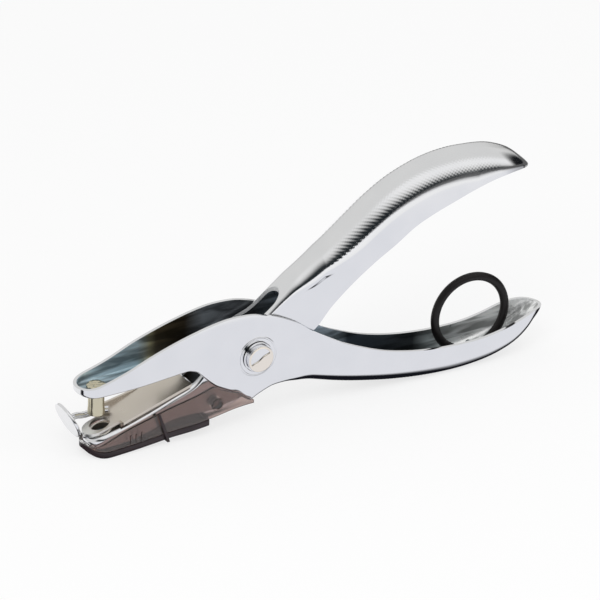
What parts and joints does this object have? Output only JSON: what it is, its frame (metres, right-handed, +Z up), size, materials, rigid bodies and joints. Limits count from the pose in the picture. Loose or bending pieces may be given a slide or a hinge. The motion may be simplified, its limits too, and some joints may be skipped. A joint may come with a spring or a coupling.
{
  "type": "hole punch",
  "caption": "Hand-held single hole punch with two crossed pressed levers, a punch pin and guide plate in the jaws, a chip catcher and a rubber ring on the lower handle.",
  "frame": {"origin": "bottom centre of the bounding box, on the surface that the front of the catcher and the belly of the lower handle stand on", "axes": "+Z up, +X from the jaws to the handles, +Y to the far side as pictured; the pivot axis runs along Y"},
  "size_m": [0.154, 0.02, 0.0684],
  "materials": {
    "lever_chrome": "bright chrome plate on pressed sheet steel",
    "plate_steel": "satin plated steel",
    "pin_steel": "ground tool steel, slightly yellow",
    "spring_steel": "plain drawn wire and tube",
    "smoke_plastic": "smoky brown see-through plastic",
    "dark_plastic": "dark smoky plastic",
    "ring_rubber": "smooth black rubber"
  },
  "bodies": {
    "lower_body": {"outer_lever": "lever_chrome", "punch_pin": "pin_steel", "pivot_bolt": "lever_chrome", "pivot_nut": "lever_chrome", "pivot_sleeve": "spring_steel", "return_spring": "spring_steel", "ring_staple": "spring_steel"},
    "upper_handle": {"inner_lever": "lever_chrome", "guide_plate": "plate_steel", "die_bush": "plate_steel", "stop_arm": "lever_chrome", "stop_disc": "lever_chrome"},
    "catcher": {"catcher_shell": "smoke_plastic", "catcher_tray": "dark_plastic", "catcher_clip": "dark_plastic"},
    "ring": {"lock_ring": "ring_rubber"}
  },
  "joints": [
    {"name": "handle_squeeze", "type": "hinge", "parent": "lower_body", "child": "upper_handle", "pos_m": [-0.01906, -0.0016, 0.02102], "axis": [0, 1, 0], "range_deg": [0, 9], "stiffness_Nm_per_rad": 0.5, "springref_deg": -28.65, "deforming": ["return_spring"]},
    {"name": "catcher_swing", "type": "hinge", "parent": "upper_handle", "child": "catcher", "pos_m": [-0.0325, -0.0016, 0.00924], "axis": [0, 1, 0], "range_deg": [-35, 0]},
    {"name": "ring_swing", "type": "hinge", "parent": "lower_body", "child": "ring", "pos_m": [0.05419, -0.0016, 0.00281], "axis": [1, 0, 0], "range_deg": [-25, 25]}
  ]
}
